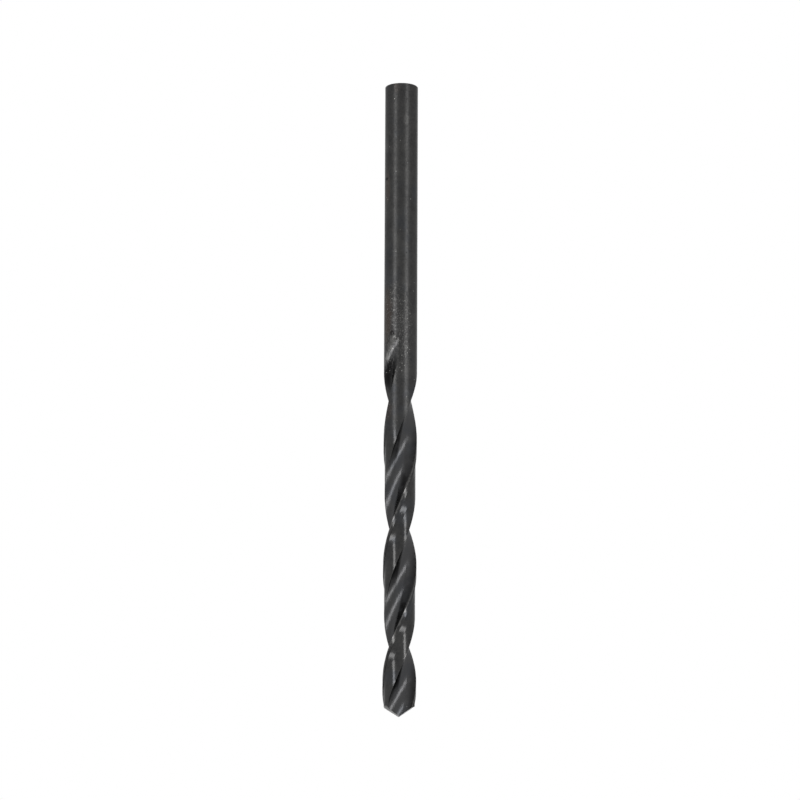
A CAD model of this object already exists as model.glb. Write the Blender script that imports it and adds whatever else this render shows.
import logging
from dataclasses import dataclass
from enum import Enum
from math import asin, cos, degrees, pi, radians, sin, tan

import bpy
from mathutils import Matrix, Vector


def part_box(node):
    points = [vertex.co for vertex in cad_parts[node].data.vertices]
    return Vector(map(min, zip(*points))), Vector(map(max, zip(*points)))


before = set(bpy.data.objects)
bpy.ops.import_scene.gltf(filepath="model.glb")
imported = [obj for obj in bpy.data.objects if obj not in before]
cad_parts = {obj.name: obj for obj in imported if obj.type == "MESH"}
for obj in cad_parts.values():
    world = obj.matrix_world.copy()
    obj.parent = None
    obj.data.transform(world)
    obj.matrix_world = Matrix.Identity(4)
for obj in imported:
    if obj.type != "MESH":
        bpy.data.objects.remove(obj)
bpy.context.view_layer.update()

MM = 0.001  # metres in a millimetre
MICRON = 1e-6  # metres in a micrometre
HALF_TURN = 180.0
FULL_TURN = 360.0
WHITE = (1.0, 1.0, 1.0, 1.0)
MATRIX_SIZE = 4  # rows of a matrix that places an object

# A Mix node's sockets share their names between numbers and colours, so they go by place.
MIX_NUMBERS = slice(2, 4)
MIX_COLOURS = slice(6, 8)
MIXED_NUMBER = 0
MIXED_COLOUR = 2

logging.basicConfig(level=logging.INFO, format="%(message)s")
LOG = logging.getLogger("twist_drill")

Socket = bpy.types.NodeSocket
Value = "Socket | float"
Colour = tuple[float, float, float]
Point = tuple[float, float, float]


class Kind(Enum):
    """What a node group's socket carries."""

    NUMBER = "NodeSocketFloat"
    VECTOR = "NodeSocketVector"


# ---------------------------------------------------------------- node trees


@dataclass
class Graph:
    """A node tree, with short calls for the nodes that the finishes are made of."""

    tree: bpy.types.NodeTree

    def node(self, kind: str, **settings: object) -> bpy.types.Node:
        """Add a node.

        Args:
            kind: The node's type name.
            settings: Its properties, by name.

        Returns:
            The new node.
        """
        made = self.tree.nodes.new(kind)
        for name, value in settings.items():
            setattr(made, name, value)
        return made

    def feed(self, socket: Socket, value: object) -> None:
        """Link a socket into another, or set it to a constant.

        Args:
            socket: The input to feed.
            value: Another node's output, or the constant.
        """
        if isinstance(value, bpy.types.NodeSocket):
            self.tree.links.new(value, socket)
        else:
            socket.default_value = value

    def feed_all(self, node: bpy.types.Node, values: dict[str, object]) -> None:
        """Feed several inputs of a node.

        Args:
            node: The node.
            values: What feeds each input, by the input's name.
        """
        for name, value in values.items():
            self.feed(node.inputs[name], value)

    def math(self, operation: str, *values: Value) -> Socket:
        """Add a Math node.

        Args:
            operation: The node's operation.
            values: Its operands, outputs or numbers.

        Returns:
            Its output.
        """
        made = self.node("ShaderNodeMath", operation=operation)
        for socket, value in zip(made.inputs, values):
            self.feed(socket, value)
        return made.outputs["Value"]

    def vector_math(self, operation: str, result: str, *vectors: object) -> Socket:
        """Add a Vector Math node.

        Args:
            operation: The node's operation.
            result: Name of the output that is wanted.
            vectors: Its operands, outputs or constants.

        Returns:
            That output.
        """
        made = self.node("ShaderNodeVectorMath", operation=operation)
        for socket, vector in zip(made.inputs, vectors):
            self.feed(socket, vector)
        return made.outputs[result]

    def axes(self, vector: Socket) -> bpy.types.NodeOutputs:
        """Split a vector.

        Args:
            vector: The vector.

        Returns:
            Its X, Y and Z.
        """
        made = self.node("ShaderNodeSeparateXYZ")
        self.feed(made.inputs["Vector"], vector)
        return made.outputs

    def product(self, *factors: Value) -> Socket:
        """Multiply several masks.

        Args:
            factors: Outputs or numbers, at least two of them.

        Returns:
            Their product.
        """
        result = factors[0]
        for factor in factors[1:]:
            result = self.math("MULTIPLY", result, factor)
        return result

    def greatest(self, *masks: Value) -> Socket:
        """Take the greatest of several masks.

        Args:
            masks: Outputs or numbers, at least two of them.

        Returns:
            The greatest at each point.
        """
        result = masks[0]
        for mask in masks[1:]:
            result = self.math("MAXIMUM", result, mask)
        return result

    def fade(
        self, value: Value, start: float, end: float, low: float = 0.0, high: float = 1.0
    ) -> Socket:
        """Go smoothly from one level to another as a value crosses a stretch.

        Args:
            value: The value that is read.
            start: Where the result leaves low.
            end: Where the result reaches high. It may be below start.
            low: The level before the stretch.
            high: The level beyond it.

        Returns:
            The level.
        """
        made = self.node("ShaderNodeMapRange", interpolation_type="SMOOTHSTEP")
        stretch = {"From Min": start, "From Max": end, "To Min": low, "To Max": high}
        self.feed_all(made, {"Value": value} | stretch)
        return made.outputs["Result"]

    def noise(self, vector: Socket, scale: float, detail: float, roughness: float) -> Socket:
        """Add soft random variation.

        Args:
            vector: Where it is read.
            scale: How many variations fit in a unit.
            detail: How many finer layers it has.
            roughness: How strong the finer layers are.

        Returns:
            The variation, about 0.5.
        """
        made = self.node("ShaderNodeTexNoise")
        layers = {"Scale": scale, "Detail": detail, "Roughness": roughness}
        self.feed_all(made, {"Vector": vector} | layers)
        return made.outputs["Fac"]

    def blend(self, share: Value, under: "Socket | Colour", over: "Socket | Colour") -> Socket:
        """Lay one colour over another.

        Args:
            share: How much of the upper colour shows.
            under: The lower colour.
            over: The upper colour.

        Returns:
            The blended colour.
        """
        made = self.node("ShaderNodeMix", data_type="RGBA")
        self.feed(made.inputs["Factor"], share)
        for socket, colour in zip(made.inputs[MIX_COLOURS], (under, over)):
            linked = isinstance(colour, bpy.types.NodeSocket)
            self.feed(socket, colour if linked else (*colour, 1.0))
        return made.outputs[MIXED_COLOUR]

    def between(self, share: Value, first: Value, second: Value) -> Socket:
        """Go from one number to another.

        Args:
            share: 0 for the first, 1 for the second.
            first: The first number.
            second: The second number.

        Returns:
            The number between them.
        """
        made = self.node("ShaderNodeMix", data_type="FLOAT")
        self.feed(made.inputs["Factor"], share)
        for socket, value in zip(made.inputs[MIX_NUMBERS], (first, second)):
            self.feed(socket, value)
        return made.outputs[MIXED_NUMBER]


class NodeGroup:
    """A named group of nodes that can be placed in any material."""

    def __init__(self, name: str, inputs: dict[str, Kind], outputs: dict[str, Kind]) -> None:
        """Make the empty group.

        Args:
            name: The group's name.
            inputs: Its inputs and what they carry.
            outputs: Its outputs and what they carry.
        """
        self.tree = bpy.data.node_groups.new(name, "ShaderNodeTree")
        for direction, sockets in (("INPUT", inputs), ("OUTPUT", outputs)):
            for label, kind in sockets.items():
                self.tree.interface.new_socket(label, in_out=direction, socket_type=kind.value)
        self.graph = Graph(self.tree)
        self.given = self.graph.node("NodeGroupInput").outputs
        self.result = self.graph.node("NodeGroupOutput").inputs

    def place(self, graph: Graph, **values: object) -> bpy.types.NodeOutputs:
        """Place the group in a tree.

        Args:
            graph: The tree.
            values: What feeds its inputs, by name.

        Returns:
            The placed group's outputs.
        """
        placed = graph.node("ShaderNodeGroup", node_tree=self.tree)
        graph.feed_all(placed, values)
        return placed.outputs


@dataclass(frozen=True)
class Cloud:
    """Soft random variation, which can be read as a mask."""

    scale: float  # variations in a unit of length
    detail: float = 2.0
    roughness: float = 0.5
    none: float = 0.3  # the variation where the mask leaves its lower level
    full: float = 0.7  # the variation where it reaches its upper level

    def variation(self, g: Graph, position: Socket) -> Socket:
        """Read the cloud as it is, about 0.5."""
        return g.noise(position, self.scale, self.detail, self.roughness)

    def mask(self, g: Graph, position: Socket, low: float = 0.0, high: float = 1.0) -> Socket:
        """Read the cloud as a mask.

        Args:
            g: The tree.
            position: Where it is read.
            low: The mask's lower level.
            high: The mask's upper level.

        Returns:
            The mask.
        """
        return g.fade(self.variation(g, position), self.none, self.full, low, high)


# ---------------------------------------------------------------- the drill's form


@dataclass(frozen=True)
class DrillForm:
    """The sizes that the finish follows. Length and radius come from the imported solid."""

    length: float
    radius: float
    lead: float = 26.7
    run_out_lead: float = 35.0
    steady_length: float = 11.5
    flute_length: float = 44.2
    half_web: float = 0.5
    half_point: float = 59.0
    cleared_radius: float = 1.8
    cleared_length: float = 31.8
    clearance_fade: float = 2.2
    land_angle: float = 77.5

    @classmethod
    def of_node(cls, node: str) -> "DrillForm":
        """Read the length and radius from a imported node's box."""
        low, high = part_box(node)
        return cls(length=(high.z - low.z) / MM, radius=(high.x - low.x) / MM / 2)

    @property
    def twist_rate(self) -> float:
        """Degrees of twist for each millimetre near the point."""
        return FULL_TURN / self.lead

    @property
    def slackening(self) -> float:
        """How fast the twist rate falls beyond the steady stretch."""
        loss = self.twist_rate - FULL_TURN / self.run_out_lead
        return loss / (self.flute_length - self.steady_length)

    @property
    def point_height(self) -> float:
        """Height of the point's outer corners above the tip."""
        return self.radius / tan(radians(self.half_point))

    @property
    def turn_at_tip(self) -> float:
        """Azimuth that a leading edge would have level with the tip."""
        return -degrees(asin(self.half_web / self.radius)) - self.twist_rate * self.point_height


@dataclass(frozen=True)
class HelixCoordinates:
    """Gives each point of the surface its place on the twisted cross-section."""

    form: DrillForm

    def build(self) -> NodeGroup:
        """Make the group.

        Returns:
            A group that turns a position into its place on the cross-section with the twist taken
            out, its angle behind a leading edge, its radius, and its distance from the tip.
        """
        inputs = {"Position": Kind.VECTOR}
        outputs = {
            "Section": Kind.VECTOR,
            "Phase": Kind.NUMBER,
            "Radius": Kind.NUMBER,
            "Reach": Kind.NUMBER,
        }
        group = NodeGroup("helix_coordinates", inputs, outputs)
        g = group.graph
        x, y, z = g.axes(group.given["Position"])
        radius = g.math("SQRT", g.math("ADD", g.product(x, x), g.product(y, y)))
        azimuth = g.math("DEGREES", g.math("ARCTAN2", y, x))
        reach = g.math("ADD", z, self.form.length)
        turn = g.math("MULTIPLY_ADD", reach, self.form.twist_rate, self.form.turn_at_tip)
        beyond = g.math("MAXIMUM", g.math("SUBTRACT", reach, self.form.steady_length), 0.0)
        slack = g.product(beyond, beyond, self.form.slackening / 2)
        turned_back = g.math("ADD", g.math("SUBTRACT", azimuth, turn), slack)
        phase = g.math("FLOORED_MODULO", turned_back, HALF_TURN)
        angle = g.math("RADIANS", phase)
        section_x = g.product(radius, g.math("COSINE", angle))
        section_y = g.product(radius, g.math("SINE", angle))
        section = g.node("ShaderNodeCombineXYZ")
        g.feed_all(section, {"X": section_x, "Y": section_y, "Z": reach})
        for name, value in zip(outputs, (section.outputs["Vector"], phase, radius, reach)):
            g.feed(group.result[name], value)
        return group


@dataclass(frozen=True)
class Surface:
    """The drill's surface as a material reads it."""

    graph: Graph
    form: DrillForm
    position: Socket  # in millimetres
    normal: Socket
    section: Socket  # place on the untwisted cross-section
    phase: Socket  # angle behind a leading edge
    radius: Socket  # distance from the axis
    reach: Socket  # distance from the tip

    @classmethod
    def of_form(cls, graph: Graph, form: DrillForm) -> "Surface":
        """Read the surface in a material's tree.

        Args:
            graph: The tree.
            form: The drill's sizes.

        Returns:
            The surface.
        """
        given = graph.node("ShaderNodeTexCoord").outputs
        millimetres = (1 / MM, 1 / MM, 1 / MM)
        position = graph.vector_math("MULTIPLY", "Vector", given["Object"], millimetres)
        helix = HelixCoordinates(form).build().place(graph, Position=position)
        return cls(graph, form, position, given["Normal"], *helix)


# ---------------------------------------------------------------- effects that finishes share


@dataclass(frozen=True)
class EdgeWear:
    """Oxide rubbed off along an edge, in a line that frays."""

    frays: Cloud = Cloud(2.6, detail=4.0, roughness=0.6, none=0.35, full=0.65)
    narrowest: float = 0.2  # share of the width that is left where it frays most
    least_width: float = 1e-4
    rise: float = 0.6  # share of the width over which the wear comes up

    def build(self) -> NodeGroup:
        """Make the group.

        Returns:
            A group that turns a distance from an edge into how bare the surface is there.
        """
        inputs = {"Position": Kind.VECTOR, "Distance": Kind.NUMBER, "Width": Kind.NUMBER}
        group = NodeGroup("edge_wear", inputs, {"Mask": Kind.NUMBER})
        g = group.graph
        share = self.frays.mask(g, group.given["Position"], low=self.narrowest)
        width = g.greatest(g.product(group.given["Width"], share), self.least_width)
        closeness = g.math("SUBTRACT", 1.0, g.math("DIVIDE", group.given["Distance"], width))
        g.feed(group.result["Mask"], g.fade(closeness, 0.0, self.rise))
        return group


@dataclass(frozen=True)
class Specks:
    """Small round marks, such as pits and grit, scattered at random."""

    smallest: float = 0.45  # size of the smallest one against the largest
    rise: float = 0.5  # share of the radius over which the mask comes up

    def build(self) -> NodeGroup:
        """Make the group.

        Returns:
            A group that turns a position into a mask of specks, given how many fit in a
            millimetre, their size against their spacing, and the share of places that have one.
        """
        inputs = {
            "Position": Kind.VECTOR,
            "Density": Kind.NUMBER,
            "Size": Kind.NUMBER,
            "Share": Kind.NUMBER,
        }
        group = NodeGroup("specks", inputs, {"Mask": Kind.NUMBER})
        g = group.graph
        cells = g.node("ShaderNodeTexVoronoi")
        g.feed(cells.inputs["Vector"], group.given["Position"])
        g.feed(cells.inputs["Scale"], group.given["Density"])
        chance = g.node("ShaderNodeSeparateColor")
        g.feed(chance.inputs["Color"], cells.outputs["Color"])
        chosen = g.math("LESS_THAN", chance.outputs["Red"], group.given["Share"])
        growth = g.fade(chance.outputs["Green"], 0.0, 1.0, self.smallest, 1.0)
        size = g.product(group.given["Size"], growth)
        closeness = g.math("SUBTRACT", 1.0, g.math("DIVIDE", cells.outputs["Distance"], size))
        g.feed(group.result["Mask"], g.product(chosen, g.fade(closeness, 0.0, self.rise)))
        return group


@dataclass(frozen=True)
class Marks:
    """Fine parallel tool marks, long one way and close together the other."""

    broad: Cloud = Cloud(1.0, detail=1.0)
    fine: Cloud = Cloud(3.1, detail=3.0, roughness=0.65)
    fine_share: float = 0.55

    def build(self) -> NodeGroup:
        """Make the group.

        Returns:
            A group that turns a place, already stretched along the marks, into their height.
        """
        group = NodeGroup("tool_marks", {"Place": Kind.VECTOR}, {"Height": Kind.NUMBER})
        g = group.graph
        broad = self.broad.variation(g, group.given["Place"])
        fine = self.fine.variation(g, group.given["Place"])
        g.feed(group.result["Height"], g.between(self.fine_share, broad, fine))
        return group


# ---------------------------------------------------------------- soil and wear


class Soil(Enum):
    """What a patch of the surface has on it, or has lost."""

    RUST = "brown rust"
    SOOT = "baked-on soot"
    SCUFF = "oxide rubbed thin"
    DEPOSIT = "soot baked into a flute only"


@dataclass(frozen=True)
class Patch:
    """A cloud of rust, soot or scuffing on one side of the drill."""

    soil: Soil
    azimuth: float
    height: float
    spread: float  # half its length along the axis
    width: float  # half its width around the drill
    strength: float
    depth: float = 0.0  # how far its middle lies under the bar's surface
    core: float = 0.35  # share of its size within which it is full
    holding: float = 0.35  # how much better it holds together towards its middle
    sparse: float = 0.52  # the blotches' level where none of it lies
    dense: float = 0.74  # the blotches' level where all of it lies

    def middle(self, radius: float) -> Point:
        """Find the patch's middle.

        Args:
            radius: The bar's radius.

        Returns:
            The point at the middle.
        """
        angle = radians(self.azimuth)
        out = radius - self.depth
        return out * cos(angle), out * sin(angle), self.height

    def mask(self, surface: Surface, blotches: Socket) -> Socket:
        """Where the patch lies.

        Args:
            surface: The drill's surface.
            blotches: The variation that it breaks up along.

        Returns:
            The mask.
        """
        g = surface.graph
        squeeze = (1 / self.width, 1 / self.width, 1 / self.spread)
        place = g.vector_math("MULTIPLY", "Vector", surface.position, squeeze)
        centre = tuple(a * b for a, b in zip(self.middle(surface.form.radius), squeeze))
        nearness = g.fade(g.vector_math("DISTANCE", "Value", place, centre), 1.0, self.core)
        held = g.math("ADD", blotches, g.product(nearness, self.holding))
        return g.product(nearness, g.fade(held, self.sparse, self.dense), self.strength)


@dataclass(frozen=True)
class WallSoot:
    """Soot along one wall of the flutes, on one side of the drill only."""

    azimuth: float  # middle of that side
    half_angle: float  # how far it reaches to either side of the middle
    fading: float  # the outer part of that reach, over which it fades
    bare_phase: float  # angle behind a leading edge where it has faded out
    full_phase: float  # angle behind a leading edge where it is full

    def mask(self, surface: Surface) -> Socket:
        """Where the soot lies.

        Args:
            surface: The drill's surface.

        Returns:
            The mask.
        """
        g = surface.graph
        middle = (cos(radians(self.azimuth)), sin(radians(self.azimuth)), 0.0)
        towards = g.vector_math("DOT_PRODUCT", "Value", surface.position, middle)
        facing = g.math("DIVIDE", towards, surface.radius)
        outer = cos(radians(self.half_angle))
        inner = cos(radians(self.half_angle - self.fading))
        along_wall = g.fade(surface.phase, self.bare_phase, self.full_phase)
        return g.product(g.fade(facing, outer, inner), along_wall)


@dataclass(frozen=True)
class SpeckKind:
    """One kind of speck, sparse on a plain surface and thicker where specks crowd."""

    density: float  # places for one in a millimetre
    size: float  # against the spacing of those places
    usual_share: float  # share of the places that have one
    crowded_share: float

    def mask(self, surface: Surface, specks: NodeGroup, crowded: Socket) -> Socket:
        """Where these specks are.

        Args:
            surface: The drill's surface.
            specks: The group that scatters them.
            crowded: Where they are crowded.

        Returns:
            The mask.
        """
        g = surface.graph
        share = g.between(crowded, self.usual_share, self.crowded_share)
        given = {"Position": surface.position, "Density": self.density, "Size": self.size}
        return specks.place(g, **given, Share=share)["Mask"]


@dataclass(frozen=True)
class Masks:
    """Where each part of the finish shows."""

    fluted: Socket  # the part below the shank
    hollow: Socket  # the flutes
    flank: Socket
    wear: Socket
    rust: Socket
    soot: Socket
    scuff: Socket
    crowded: Socket  # where specks are crowded and the surface is rougher
    pits: Socket
    grit: Socket


# ---------------------------------------------------------------- the finish


@dataclass(frozen=True)
class Relief:
    """Fine relief under the finish. Heights and depths are in micrometres."""

    turned_stretch: Point = (0.5, 0.5, 4.0)
    milled_stretch: Point = (5.0, 5.0, 0.22)
    shank_marks: float = 4.0
    land_marks: float = 2.0
    flute_marks: float = 11.0
    grain: Cloud = Cloud(5.5, detail=3.0, roughness=0.6)
    shank_grain: float = 12.0
    land_grain: float = 4.0
    crowded_grain: float = 13.0
    grit_height: float = 6.0
    pit_depth: float = 12.0

    def normal(self, surface: Surface, masks: Masks) -> Socket:
        """Tool marks, a grain under the oxide, grit and pits.

        Args:
            surface: The drill's surface.
            masks: Where each part of the finish shows.

        Returns:
            The surface's normal.
        """
        g = surface.graph
        marks = Marks().build()
        around = g.vector_math("MULTIPLY", "Vector", surface.position, self.turned_stretch)
        along = g.vector_math("MULTIPLY", "Vector", surface.section, self.milled_stretch)
        turned = marks.place(g, Place=around)["Height"]
        milled = marks.place(g, Place=along)["Height"]
        plain_marks = g.between(masks.fluted, self.shank_marks, self.land_marks)
        mark_height = g.between(masks.hollow, plain_marks, self.flute_marks)
        tooling = g.product(g.between(masks.hollow, turned, milled), mark_height)
        grain = self.grain.variation(g, surface.position)
        plain_grain = g.between(masks.fluted, self.shank_grain, self.land_grain)
        rough = g.product(grain, g.between(masks.crowded, plain_grain, self.crowded_grain))
        raised = g.product(masks.grit, self.grit_height)
        dents = g.math("SUBTRACT", raised, g.product(masks.pits, self.pit_depth))
        height = g.math("ADD", g.math("ADD", tooling, rough), dents)
        bump = g.node("ShaderNodeBump")
        g.feed_all(bump, {"Strength": 1.0, "Distance": MICRON, "Height": height})
        return bump.outputs["Normal"]


@dataclass(frozen=True)
class BlackOxide:
    """Blackened high-speed steel, worn brighter on its edges and ground bare on its point."""

    dark_oxide: Colour = (0.0275, 0.0275, 0.028)
    light_oxide: Colour = (0.05, 0.0495, 0.0485)
    blue_oxide: Colour = (0.036, 0.0405, 0.049)
    flute_oxide: Colour = (0.056, 0.056, 0.0575)
    soot: Colour = (0.0065, 0.0062, 0.0065)
    rust: Colour = (0.06, 0.0475, 0.0405)
    old_rust: Colour = (0.026, 0.016, 0.013)
    worn_steel: Colour = (0.13, 0.128, 0.125)
    bright_speck: Colour = (0.34, 0.335, 0.32)
    pit: Colour = (0.012, 0.011, 0.011)
    ground_steel: Colour = (0.12, 0.118, 0.115)
    edge_tint: float = 0.7

    # How much of each colour shows where its mask is full.
    grain_share: float = 0.5
    flute_share: float = 0.85
    blue_share: float = 0.3
    rust_share: float = 0.75
    soot_share: float = 0.95
    scuff_share: float = 0.5
    mottle_share: float = 0.5
    flank_share: float = 0.55
    wear_share: float = 0.45

    clouds: Cloud = Cloud(0.55, detail=5.0, roughness=0.6)
    grain: Cloud = Cloud(4.0, detail=3.0, roughness=0.7)
    tints: Cloud = Cloud(0.35, none=0.52)
    mottle: Cloud = Cloud(6.5, none=0.5, full=0.68)
    sheen: Cloud = Cloud(1.7, detail=3.0)
    thin_soot: Cloud = Cloud(0.9, detail=4.0, full=0.55)
    thinnest_soot: float = 0.6
    blotches: Cloud = Cloud(1.3, detail=6.0, roughness=0.65)

    shank_roughness: float = 0.33
    land_roughness: float = 0.18
    flute_roughness: float = 0.245
    rust_roughness: float = 0.45
    sheen_swing: float = 0.03  # how far the roughness comes and goes

    shank_fade: float = 3.0  # stretch over which the fluted part takes on the shank's finish
    bar_inset: float = 0.035  # how far under the bar's surface a flute starts above the lands
    flute_rim: float = 0.01  # depth where a flute's finish starts
    flute_rim_end: float = 0.08  # depth where it is full
    flute_end_fade: float = 0.5
    flank_slope: float = -0.45  # Z of the normal where a flank starts
    flank_slope_end: float = -0.48
    flank_top: float = 0.3  # how far above the point's outer corners a flank may reach
    flank_top_end: float = 0.2

    leading_wear: float = 0.34  # width of the worn strip along a leading edge
    heel_wear: float = 0.05
    wear_above: float = 1.0  # where the wear starts, above the relieved part of the lands
    wear_below: float = 2.0  # where it is full, below the top of that part

    sooty_radius: float = 1.8  # radius where the soot on the walls starts
    sooty_radius_end: float = 1.7  # radius where it is full
    sooty_reach: float = 2.5  # distance from the tip where that soot starts
    sooty_reach_end: float = 4.0

    crowd_above: float = 1.0  # how far above the flutes' end the specks crowd most
    crowd_squeeze: float = 0.4  # width of the crowded zone against its length
    crowd_size: float = 3.2
    crowd_core: float = 1.2
    pit_kind: SpeckKind = SpeckKind(3.0, 0.25, usual_share=0.03, crowded_share=0.2)
    grit_kind: SpeckKind = SpeckKind(4.2, 0.27, usual_share=0.02, crowded_share=0.22)
    grit_strength: float = 0.8
    relief: Relief = Relief()

    wall_soots: tuple[WallSoot, ...] = (
        WallSoot(azimuth=-45.0, half_angle=76.0, fading=50.0, bare_phase=99.0, full_phase=84.0),
        WallSoot(azimuth=-85.0, half_angle=78.0, fading=50.0, bare_phase=142.0, full_phase=172.0),
    )
    patches: tuple[Patch, ...] = (
        Patch(Soil.RUST, azimuth=-128.0, height=-28.0, spread=4.6, width=1.5, strength=0.9),
        Patch(Soil.RUST, azimuth=-128.0, height=-37.2, spread=2.0, width=1.0, strength=1.0, depth=0.3),
        Patch(Soil.RUST, azimuth=-113.0, height=-39.4, spread=1.8, width=0.9, strength=0.45),
        Patch(Soil.RUST, azimuth=-122.0, height=-12.5, spread=3.0, width=0.8, strength=0.55),
        Patch(Soil.RUST, azimuth=-80.0, height=-0.3, spread=1.2, width=0.7, strength=0.35),
        Patch(Soil.SOOT, azimuth=-96.0, height=-30.4, spread=0.7, width=0.45, strength=0.9),
        Patch(Soil.DEPOSIT, azimuth=-115.0, height=-35.4, spread=3.7, width=2.6, strength=1.0, depth=0.5),
        Patch(Soil.SOOT, azimuth=-128.0, height=-11.5, spread=0.28, width=0.6, strength=1.0),
        Patch(Soil.SCUFF, azimuth=-127.0, height=-7.4, spread=1.5, width=0.6, strength=0.35),
        Patch(Soil.SCUFF, azimuth=-48.0, height=-4.5, spread=0.9, width=0.5, strength=0.3),
        Patch(Soil.SCUFF, azimuth=-95.0, height=-31.0, spread=0.9, width=0.6, strength=0.8),
        Patch(Soil.SCUFF, azimuth=-106.0, height=-32.0, spread=1.0, width=0.6, strength=0.7),
        Patch(Soil.SCUFF, azimuth=-122.0, height=-32.9, spread=1.0, width=0.6, strength=0.8),
        Patch(Soil.SCUFF, azimuth=-87.0, height=-33.6, spread=0.2, width=0.3, strength=1.0),
    )

    def build(self, form: DrillForm) -> bpy.types.Material:
        """Make the material.

        Args:
            form: The drill's sizes.

        Returns:
            The finished material.
        """
        material = bpy.data.materials.new("black_oxide_steel")
        material.use_nodes = True
        g = Graph(material.node_tree)
        surface = Surface.of_form(g, form)
        masks = self.masks(surface)
        look = {
            "Metallic": 1.0,
            "Specular Tint": (self.edge_tint, self.edge_tint, self.edge_tint, 1.0),
            "Base Color": self.colour(surface, masks),
            "Roughness": self.roughness(surface, masks),
            "Normal": self.relief.normal(surface, masks),
        }
        g.feed_all(material.node_tree.nodes["Principled BSDF"], look)
        return material

    def masks(self, surface: Surface) -> Masks:
        """Find where each part of the finish shows.

        Args:
            surface: The drill's surface.

        Returns:
            The masks.
        """
        g = surface.graph
        lands_top = surface.form.cleared_length
        hollow = self.flute_mask(surface)
        rust, soot, scuff, deposit = (self.soil_mask(surface, soil) for soil in Soil)
        walls = self.wall_mask(surface, hollow)
        crowded = self.crowding(surface, rust, scuff)
        specks = Specks().build()
        grit = self.grit_kind.mask(surface, specks, crowded)
        return Masks(
            fluted=g.fade(surface.reach, lands_top + self.shank_fade, lands_top),
            hollow=hollow,
            flank=self.flank_mask(surface),
            wear=self.wear_mask(surface, hollow),
            rust=rust,
            soot=g.greatest(soot, g.product(deposit, hollow), walls),
            scuff=scuff,
            crowded=crowded,
            pits=self.pit_kind.mask(surface, specks, crowded),
            grit=g.product(grit, self.grit_strength),
        )

    def colour(self, surface: Surface, masks: Masks) -> Socket:
        """Lay the colours over each other.

        Args:
            surface: The drill's surface.
            masks: Where each part of the finish shows.

        Returns:
            The colour.
        """
        g = surface.graph
        clouds, grain, tints, mottle = (
            cloud.mask(g, surface.position)
            for cloud in (self.clouds, self.grain, self.tints, self.mottle)
        )
        rust = g.blend(masks.hollow, self.rust, self.old_rust)
        shades = g.between(self.grain_share, clouds, grain)
        colour = g.blend(shades, self.dark_oxide, self.light_oxide)
        coats = (
            (masks.hollow, self.flute_share, self.flute_oxide),
            (tints, self.blue_share, self.blue_oxide),
            (masks.rust, self.rust_share, rust),
            (masks.soot, self.soot_share, self.soot),
            (masks.scuff, self.scuff_share, self.worn_steel),
            (g.product(masks.crowded, mottle), self.mottle_share, self.worn_steel),
            (masks.flank, self.flank_share, self.ground_steel),
            (masks.wear, self.wear_share, self.worn_steel),
        )
        for mask, share, coat in coats:
            colour = g.blend(g.product(mask, share), colour, coat)
        colour = g.blend(masks.pits, colour, self.pit)
        return g.blend(masks.grit, colour, self.bright_speck)

    def roughness(self, surface: Surface, masks: Masks) -> Socket:
        """How rough each part of the surface is.

        Args:
            surface: The drill's surface.
            masks: Where each part of the finish shows.

        Returns:
            The roughness.
        """
        g = surface.graph
        swing = self.sheen.mask(g, surface.position, -self.sheen_swing, self.sheen_swing)
        outside = g.between(masks.fluted, self.shank_roughness, self.land_roughness)
        clean = g.between(masks.hollow, outside, self.flute_roughness)
        return g.between(masks.rust, g.math("ADD", clean, swing), self.rust_roughness)

    def flute_mask(self, surface: Surface) -> Socket:
        """Where the surface is the hollow of a flute.

        Args:
            surface: The drill's surface.

        Returns:
            The mask.
        """
        g, form = surface.graph, surface.form
        lands_top = form.cleared_length
        bar_radius = form.radius - self.bar_inset
        relief_end = lands_top + form.clearance_fade
        outside = g.fade(surface.reach, lands_top, relief_end, form.cleared_radius, bar_radius)
        depth = g.math("SUBTRACT", outside, surface.radius)
        deep = g.fade(depth, self.flute_rim, self.flute_rim_end)
        full_length = form.flute_length - self.flute_end_fade
        return g.product(deep, g.fade(surface.reach, form.flute_length, full_length))

    def flank_mask(self, surface: Surface) -> Socket:
        """Where the surface is a flank of the point, which faces well downwards.

        Args:
            surface: The drill's surface.

        Returns:
            The mask.
        """
        g = surface.graph
        corners = surface.form.point_height
        slope = g.axes(surface.normal)["Z"]
        downwards = g.fade(slope, self.flank_slope, self.flank_slope_end)
        low = g.fade(surface.reach, corners + self.flank_top, corners + self.flank_top_end)
        return g.product(downwards, low)

    def wear_mask(self, surface: Surface, hollow: Socket) -> Socket:
        """Where oxide is rubbed off along the leading edges and heels.

        Args:
            surface: The drill's surface.
            hollow: The mask of the flutes.

        Returns:
            The mask.
        """
        g, form = surface.graph, surface.form
        edge_wear = EdgeWear().build()
        flat = g.vector_math("MULTIPLY", "Vector", surface.section, (1.0, 1.0, 0.0))
        either_side = g.vector_math("ABSOLUTE", "Vector", flat)
        angle = radians(form.land_angle)
        heel = (form.cleared_radius * cos(angle), form.cleared_radius * sin(angle), 0.0)
        from_leading = g.vector_math("DISTANCE", "Value", either_side, (form.radius, 0.0, 0.0))
        from_heel = g.vector_math("DISTANCE", "Value", flat, heel)
        leading, heels = (
            edge_wear.place(g, Position=surface.position, Distance=distance, Width=width)["Mask"]
            for distance, width in ((from_leading, self.leading_wear), (from_heel, self.heel_wear))
        )
        on_land = g.math("SUBTRACT", 1.0, hollow)
        start = form.cleared_length + self.wear_above
        below_run_out = g.fade(surface.reach, start, form.cleared_length - self.wear_below)
        return g.product(g.greatest(g.product(leading, on_land), heels), below_run_out)

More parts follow.
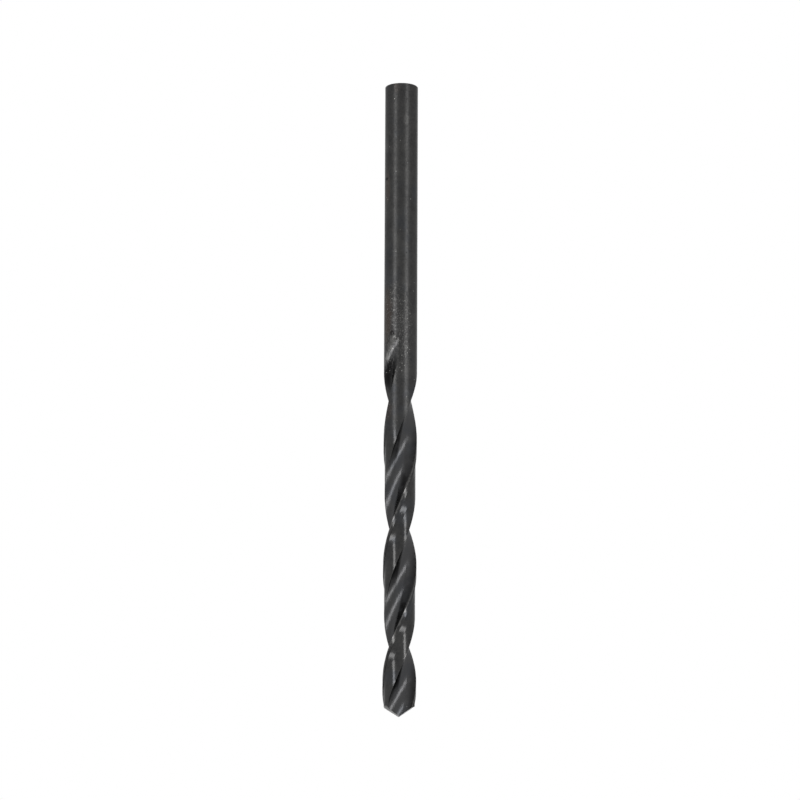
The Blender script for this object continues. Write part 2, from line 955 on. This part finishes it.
    def wall_mask(self, surface: Surface, hollow: Socket) -> Socket:
        """Where soot lies along the walls of the flutes.

        Args:
            surface: The drill's surface.
            hollow: The mask of the flutes.

        Returns:
            The mask.
        """
        g = surface.graph
        soots = g.greatest(0.0, *(soot.mask(surface) for soot in self.wall_soots))
        thin = self.thin_soot.mask(g, surface.position, low=self.thinnest_soot)
        inside = g.fade(surface.radius, self.sooty_radius, self.sooty_radius_end)
        above_point = g.fade(surface.reach, self.sooty_reach, self.sooty_reach_end)
        return g.product(soots, thin, hollow, inside, above_point)

    def soil_mask(self, surface: Surface, soil: Soil) -> Socket:
        """Where one kind of soil lies, each patch a cloud that breaks up towards its edge.

        Args:
            surface: The drill's surface.
            soil: The kind of soil.

        Returns:
            The mask.
        """
        g = surface.graph
        blotches = self.blotches.variation(g, surface.position)
        patches = (patch for patch in self.patches if patch.soil is soil)
        return g.greatest(0.0, *(patch.mask(surface, blotches) for patch in patches))

    def crowding(self, surface: Surface, rust: Socket, scuff: Socket) -> Socket:
        """Where specks are crowded: in rust, in scuffs and around the end of the flutes.

        Args:
            surface: The drill's surface.
            rust: The mask of the rust.
            scuff: The mask of the scuffs.

        Returns:
            The mask.
        """
        g, form = surface.graph, surface.form
        height = form.flute_length - form.length + self.crowd_above
        run_out = (0.0, -form.radius, height * self.crowd_squeeze)
        squeeze = (1.0, 1.0, self.crowd_squeeze)
        place = g.vector_math("MULTIPLY", "Vector", surface.position, squeeze)
        away = g.vector_math("DISTANCE", "Value", place, run_out)
        return g.greatest(rust, scuff, g.fade(away, self.crowd_size, self.crowd_core))


@dataclass
class TwistDrill:
    """The drill itself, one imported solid."""

    node_name: str = "twist_drill"
    finish: BlackOxide = BlackOxide()

    def dress(self) -> bpy.types.Object:
        """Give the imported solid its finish.

        Returns:
            The dressed object.
        """
        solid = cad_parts[self.node_name]
        material = self.finish.build(DrillForm.of_node(self.node_name))
        for slot in solid.material_slots:
            slot.material = material
        LOG.info("%s: %d faces in %s", solid.name, len(solid.data.polygons), material.name)
        return solid


# ---------------------------------------------------------------- the studio


@dataclass(frozen=True)
class Strip:
    """A tall soft light that stands upright beside the drill."""

    name: str
    aside: float  # angle from the camera
    width: float
    radiance: float
    lowest: float = -35.0  # elevation of its lower end, seen from the drill
    highest: float = 20.0  # elevation of its upper end
    distance: float = 700.0

    def build(self, camera_azimuth: float, middle: float) -> bpy.types.Object:
        """Add the lamp.

        Args:
            camera_azimuth: The camera's azimuth.
            middle: Height of the drill's middle.

        Returns:
            The lamp.
        """
        bottom = self.distance * tan(radians(self.lowest))
        top = self.distance * tan(radians(self.highest))
        angle = radians(camera_azimuth + self.aside)
        height = middle + (bottom + top) / 2
        place = Vector((self.distance * cos(angle), self.distance * sin(angle), height))
        bpy.ops.object.light_add(type="AREA", location=place * MM)
        lamp = bpy.context.object
        lamp.name = self.name
        lamp.rotation_euler = (pi / 2, 0.0, angle + pi / 2)
        lamp.visible_camera = False
        lamp.data.shape = "RECTANGLE"
        lamp.data.size = self.width * MM
        lamp.data.size_y = (top - bottom) * MM
        lamp.data.energy = self.radiance * pi * lamp.data.size * lamp.data.size_y
        return lamp


@dataclass(frozen=True)
class PaleFloor:
    """A plain floor far below the drill."""

    height: float = -560.0
    size: float = 6000.0
    colour: Colour = (0.86, 0.86, 0.85)
    darkest: float = 0.98  # its darkest shade against its colour
    roughness: float = 0.9
    grain: Cloud = Cloud(3.0, detail=4.0)

    def build(self) -> bpy.types.Object:
        """Lay the floor.

        Returns:
            The floor.
        """
        bpy.ops.object.select_all(action="DESELECT")
        place = (0.0, 0.0, self.height * MM)
        bpy.ops.mesh.primitive_plane_add(size=self.size * MM, location=place)
        floor = bpy.context.object
        floor.name = "floor"
        material = bpy.data.materials.new("pale_floor")
        material.use_nodes = True
        g = Graph(material.node_tree)
        around = g.node("ShaderNodeTexCoord").outputs["Object"]
        grain = self.grain.variation(g, around)
        shade = tuple(self.darkest * c for c in self.colour)
        look = {"Roughness": self.roughness, "Base Color": g.blend(grain, self.colour, shade)}
        g.feed_all(material.node_tree.nodes["Principled BSDF"], look)
        floor.data.materials.append(material)
        return floor


@dataclass
class Studio:
    """White surroundings with a darker ceiling, strip lights all round and a pale floor far below."""

    camera_azimuth: float = -65.0
    camera_elevation: float = -10.8
    camera_distance: float = 405.0
    focal_length: float = 155.8
    sensor_width: float = 36.0
    nearest: float = 10.0  # closest distance that the camera sees
    aim_height: float = -37.9
    aim_aside: float = 0.045  # how far the aim lies to the left of the drill's axis
    roll: float = 0.23
    drill_middle: float = -37.5
    ceiling_starts: float = 0.45  # how far up a direction points where the ceiling starts
    ceiling_ends: float = 0.75  # how far up it points where the ceiling is darkest
    ceiling_level: float = 0.3
    strips: tuple[Strip, ...] = (
        Strip("left_strip", aside=-42.0, width=160.0, radiance=5.6),
        Strip("right_strip", aside=40.0, width=160.0, radiance=5.6),
        Strip("back_strip", aside=180.0, width=80.0, radiance=4.0),
    )
    floor: PaleFloor = PaleFloor()

    def build(self) -> None:
        """Set up the camera, the surroundings, the lights and the floor."""
        self.camera()
        self.surroundings()
        for strip in self.strips:
            strip.build(self.camera_azimuth, self.drill_middle)
        self.floor.build()
        bpy.context.scene.view_settings.view_transform = "Standard"
        LOG.info("studio: camera, %d strips, floor", len(self.strips))

    def camera(self) -> None:
        """Place the long-lens camera, below the drill's middle and looking up at it."""
        azimuth = radians(self.camera_azimuth)
        elevation = radians(self.camera_elevation)
        aside = Vector((sin(azimuth), -cos(azimuth), 0.0)) * self.aim_aside
        target = (aside + Vector((0.0, 0.0, self.aim_height))) * MM
        level = cos(elevation)
        towards = Vector((level * cos(azimuth), level * sin(azimuth), sin(elevation)))
        bpy.ops.object.camera_add(location=target + towards * self.camera_distance * MM)
        camera = bpy.context.object
        camera.name = "camera"
        turn = (-towards).to_track_quat("-Z", "Y").to_matrix().to_4x4()
        roll = Matrix.Rotation(radians(self.roll), MATRIX_SIZE, "Z")
        camera.rotation_euler = (turn @ roll).to_euler()
        camera.data.lens = self.focal_length
        camera.data.sensor_width = self.sensor_width
        camera.data.clip_start = self.nearest * MM
        bpy.context.scene.camera = camera

    def surroundings(self) -> None:
        """Make the world white, with a darker ceiling that only reflections show."""
        world = bpy.data.worlds.new("surroundings")
        bpy.context.scene.world = world
        world.use_nodes = True
        world.cycles.sampling_method = "NONE"
        g = Graph(world.node_tree)
        upwards = g.axes(g.node("ShaderNodeTexCoord").outputs["Generated"])["Z"]
        ceiling = g.fade(upwards, self.ceiling_starts, self.ceiling_ends, 1.0, self.ceiling_level)
        reflected = g.node("ShaderNodeLightPath").outputs["Is Glossy Ray"]
        light = {"Color": WHITE, "Strength": g.between(reflected, 1.0, ceiling)}
        g.feed_all(world.node_tree.nodes["Background"], light)


def main() -> None:
    """Dress the drill and set up the studio around it."""
    TwistDrill().dress()
    Studio().build()


if __name__ == "__main__":
    main()
